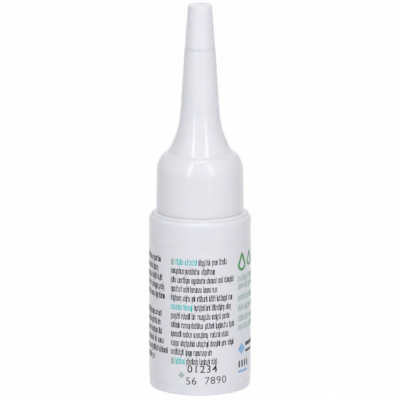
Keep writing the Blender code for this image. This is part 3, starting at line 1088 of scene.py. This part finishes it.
class BOTTLE_OT_cap(bpy.types.Operator):
    """Turn the tip cap with its dished top and sealing pin"""

    bl_idname = "ear_drop.tip_cap"
    bl_label = "Tip cap"

    def execute(self, context):
        sizes = context.scene.closure_sizes
        narrow = cap_radius - sizes.cap_taper
        seam = cap_low - FIT_GAP + sizes.cap_seam
        dish, floor = narrow - sizes.rim_width, cap_high - sizes.dish_depth
        ceiling, pin_length = floor - sizes.cap_wall, 0.0022
        pin, pin_foot = sizes.orifice - FIT_GAP, ceiling - pin_length
        gate = sizes.gate_radius, floor + sizes.gate_height
        corners = [
            (0.0, gate[1]), (*gate, 0.00008), (gate[0] + sizes.gate_height, floor, 0.00008),
            (dish, floor, EDGE), (dish + sizes.dish_depth, cap_high, 0.00015), (narrow, cap_high, 0.00022),
            (narrow + sizes.cap_taper * HOLD / (cap_high - cap_low), cap_high - HOLD), (cap_radius, seam),
            (cap_bore(sizes, seam), seam, CRISP), (cap_bore(sizes, ceiling), ceiling, EASED),
            (pin, ceiling), (pin, pin_foot, 0.00025), (0.0, pin_foot),
        ]
        piece = turned("tip_cap_shell", corners)
        material = plastic("white_cap_plastic", context.scene.finishes.closure, **MOULDED)
        finish(piece, material, "cap", "tip_cap")
        return {"FINISHED"}


class BOTTLE_OT_stage(bpy.types.Operator):
    """Set up the table, the soft lamps, the light all round and the camera"""

    bl_idname = "ear_drop.stage"
    bl_label = "Stage"

    def execute(self, context):
        setup = context.scene.stage_setup
        bpy.ops.mesh.primitive_plane_add(size=setup.table_size, location=(0.0, 0.0, 0.0))
        table = context.object
        table.name = "table_top"
        table.data.materials.append(table_material(setup))
        aim = Vector((0.0, 0.0, setup.camera_aim))
        for name, turn, width, power in (
            ("left_lamp", -setup.left_turn, setup.left_width, setup.left_lamp),
            ("right_lamp", setup.right_turn, setup.right_width, setup.right_lamp),
        ):
            away = direction(turn, setup.side_lift) * setup.side_distance
            lamp(name, aim, away, (width, setup.side_height), power)
        above = direction(0.0, setup.top_lift) * setup.top_distance
        lamp("top_lamp", aim, above, (setup.top_size, setup.top_size), setup.top_lamp)
        light_all_round(context.scene, setup)
        bpy.ops.object.camera_add(
            location=aim + direction(0.0, setup.camera_tilt) * setup.camera_distance,
            rotation=(math.pi / 2 - setup.camera_tilt, 0.0, 0.0),
        )
        camera = context.object
        camera.data.lens = setup.lens
        camera.data.sensor_width = 36.0
        camera.data.clip_start = 0.01
        context.scene.camera = camera
        context.scene.view_settings.view_transform = "Standard"
        return {"FINISHED"}


def direction(around, above):
    """Unit vector from the bottle to a place round it, with 0 at the front. Angles are in radians."""
    flat = math.cos(above)
    return Vector((math.sin(around) * flat, -math.cos(around) * flat, math.sin(above)))


def lamp(name, aim, away, size, power):
    """A soft box that looks at the bottle."""
    rotation = away.to_track_quat("Z", "Y").to_euler()
    bpy.ops.object.light_add(type="AREA", location=aim + away, rotation=rotation)
    made = bpy.context.object
    made.name = name
    made.data.shape = "RECTANGLE"
    made.data.size, made.data.size_y = size
    made.data.energy = power


def seen_directly(paint):
    """1 for a ray from the camera or a mirror or glass, and 0 for one that lights a surface."""
    kinds = "Is Camera Ray", "Is Glossy Ray", "Is Transmission Ray"
    camera, mirror, glass = paint.outputs("ShaderNodeLightPath", kinds)
    return camera.maths("MAXIMUM", camera, mirror.maths("MAXIMUM", mirror, glass))


def show(paint, first, second, factor, output):
    """Mixes two shaders and feeds the tree's output."""
    mixed = paint.node("ShaderNodeMixShader", {0: factor, 1: first, 2: second})
    paint.fill(output, {"Surface": mixed})


def table_material(setup):
    """A pale table that is nearly plain white to the camera and keeps a soft shadow."""
    material, shader, paint = new_material("pale_table")
    cloud = paint.noise(paint.place(), 12.0)
    paint.fill(shader, {
        "Base Color": paint.shades(cloud, setup.floor, 0.995, 1.005),
        "Roughness": 0.9,
        "Specular IOR Level": 0.0,
    })
    glow = paint.node("ShaderNodeEmission", WHITE)
    factor = seen_directly(paint) * setup.floor_glow
    show(paint, Signal(paint, shader.outputs[0]), glow, factor, paint.tree.nodes["Material Output"])
    return material


def light_all_round(scene, setup):
    """White behind the bottle, and on it a soft light from the front and a smaller one from behind."""
    world = scene.world or bpy.data.worlds.new("studio")
    scene.world = world
    world.use_nodes = True
    world.node_tree.nodes.clear()
    paint = Paint(world.node_tree)
    ray = paint.node("ShaderNodeTexCoord", output="Generated")
    front = paint.facing(ray, direction(setup.fill_turn, 0.0))
    strength = setup.fill * (setup.fill_sides + paint.fade(front, -0.15, 0.40) * (1.0 - setup.fill_sides))
    behind = paint.facing(ray, direction(math.pi, setup.behind_lift))
    strength = strength + paint.fade(behind, 0.90, 0.985) * setup.fill_behind
    tint = paint.mix(paint.fade(abs(front), 0.80, 0.10), rgba(setup.fill_tint), rgba(setup.side_tint))
    soft = paint.node("ShaderNodeBackground", {"Color": tint, "Strength": strength})
    white = paint.node("ShaderNodeBackground", WHITE)
    show(paint, soft, white, seen_directly(paint), world.node_tree.nodes.new("ShaderNodeOutputWorld"))


STEPS = (
    BOTTLE_OT_stage,
    BOTTLE_OT_shell,
    BOTTLE_OT_label,
    BOTTLE_OT_print,
    BOTTLE_OT_plug,
    BOTTLE_OT_washer,
    BOTTLE_OT_closure,
    BOTTLE_OT_cap,
)
SETTINGS = {
    "bottle_sizes": BottleSizes,
    "closure_sizes": ClosureSizes,
    "label_print": LabelPrint,
    "finishes": Finishes,
    "stage_setup": StageSetup,
}


class BOTTLE_PT_build(bpy.types.Panel):
    """Lists the steps that build the bottle"""

    bl_idname = "BOTTLE_PT_build"
    bl_label = "Ear Drop Bottle"
    bl_space_type = "VIEW_3D"
    bl_region_type = "UI"
    bl_category = "Ear Drop Bottle"

    def draw(self, context):
        for step in STEPS:
            self.layout.operator(step.bl_idname)


def register():
    for name, group in SETTINGS.items():
        bpy.utils.register_class(group)
        setattr(bpy.types.Scene, name, PointerProperty(type=group))
    for step in (*STEPS, BOTTLE_PT_build):
        bpy.utils.register_class(step)


def unregister():
    for step in (*STEPS, BOTTLE_PT_build):
        bpy.utils.unregister_class(step)
    for name, group in SETTINGS.items():
        delattr(bpy.types.Scene, name)
        bpy.utils.unregister_class(group)


def main():
    register()
    bpy.ops.ear_drop.stage()
    bpy.ops.ear_drop.bottle_shell()
    bpy.ops.ear_drop.label_film()
    bpy.ops.ear_drop.label_print()
    bpy.ops.ear_drop.neck_plug()
    bpy.ops.ear_drop.foam_washer()
    bpy.ops.ear_drop.closure()
    bpy.ops.ear_drop.tip_cap()


if __name__ == "__main__":
    main()
